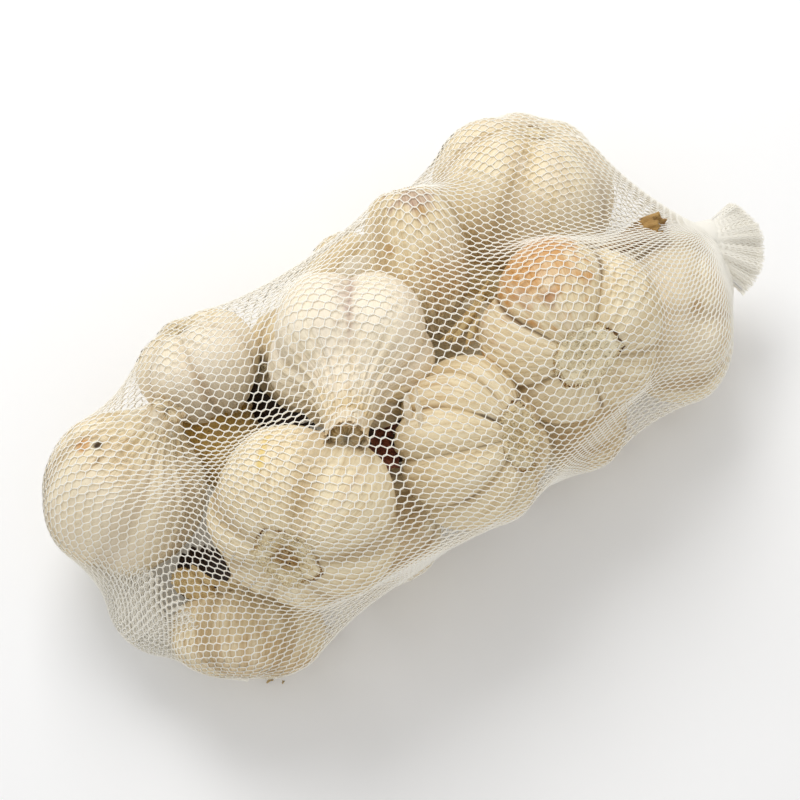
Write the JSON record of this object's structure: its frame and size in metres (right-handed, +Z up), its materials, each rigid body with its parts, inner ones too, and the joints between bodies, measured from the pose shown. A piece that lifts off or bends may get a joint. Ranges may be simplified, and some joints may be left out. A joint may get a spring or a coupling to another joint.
{
  "type": "net of garlic bulbs",
  "caption": "Knitted net tube tightly filled with whole garlic bulbs, gathered into a flared tail at the end and folded under at the other, lying on its side.",
  "frame": {"origin": "on the floor, under the middle of the bounding box", "axes": "+X along the pack from the folded end to the gathered tail, +Y across it, +Z up from the floor it lies on"},
  "size_m": [0.2478, 0.123, 0.0995],
  "materials": {
    "garlic_net": "matte"
  },
  "bodies": {
    "root": {"garlic_net": "garlic_net"}
  },
  "joints": []
}
